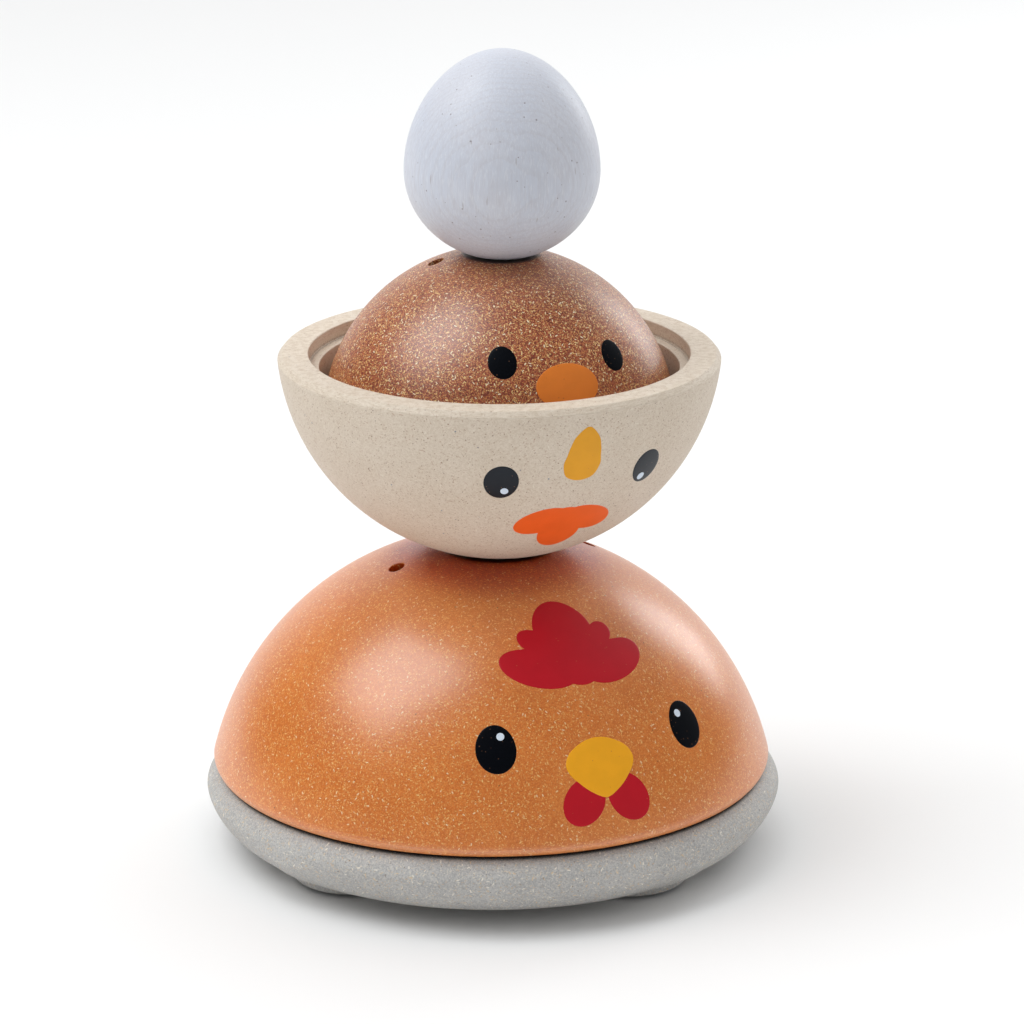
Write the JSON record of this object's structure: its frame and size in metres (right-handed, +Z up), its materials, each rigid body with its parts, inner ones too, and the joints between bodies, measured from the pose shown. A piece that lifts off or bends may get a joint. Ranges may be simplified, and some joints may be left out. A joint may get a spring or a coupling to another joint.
{
  "type": "nesting toy",
  "caption": "Stacking and nesting toy hen family: nest base, hen shell, smaller hen shell turned over as a bowl, chick shell and egg.",
  "frame": {"origin": "centre of the nest base in the plane of its four feet", "axes": "+Z up the tower, -Y the way the painted faces look"},
  "size_m": [0.135, 0.135, 0.1877],
  "materials": {
    "grey_composite": "matt pressed sawdust composite, warm grey with pale and tan fibre flecks",
    "terracotta_composite": "satin pressed sawdust composite, dyed orange terracotta with golden and cream fibre flecks",
    "cream_composite": "matt pressed sawdust composite, undyed cream with sparse brown and blue flecks",
    "brown_composite": "satin pressed sawdust composite, dyed reddish brown with dense golden flecks",
    "white_washed_wood": "solid wood under a thin pale wash, faint upright grain, soft sheen"
  },
  "bodies": {
    "base": {"nest_base": "grey_composite"},
    "hen": {"hen_shell": "terracotta_composite"},
    "white_hen": {"white_hen_shell": "cream_composite"},
    "chick": {"chick_shell": "brown_composite"},
    "egg": {"egg": "white_washed_wood"}
  },
  "joints": [
    {"name": "hen_lift", "type": "slide", "parent": "base", "child": "hen", "axis": [0, 0, 1], "range_m": [0, 0.08]},
    {"name": "white_hen_lift", "type": "slide", "parent": "hen", "child": "white_hen", "axis": [0, 0, 1], "range_m": [0, 0.06]},
    {"name": "chick_lift", "type": "slide", "parent": "white_hen", "child": "chick", "axis": [0, 0, 1], "range_m": [0, 0.06]},
    {"name": "egg_lift", "type": "slide", "parent": "chick", "child": "egg", "axis": [0, 0, 1], "range_m": [0, 0.06]}
  ]
}
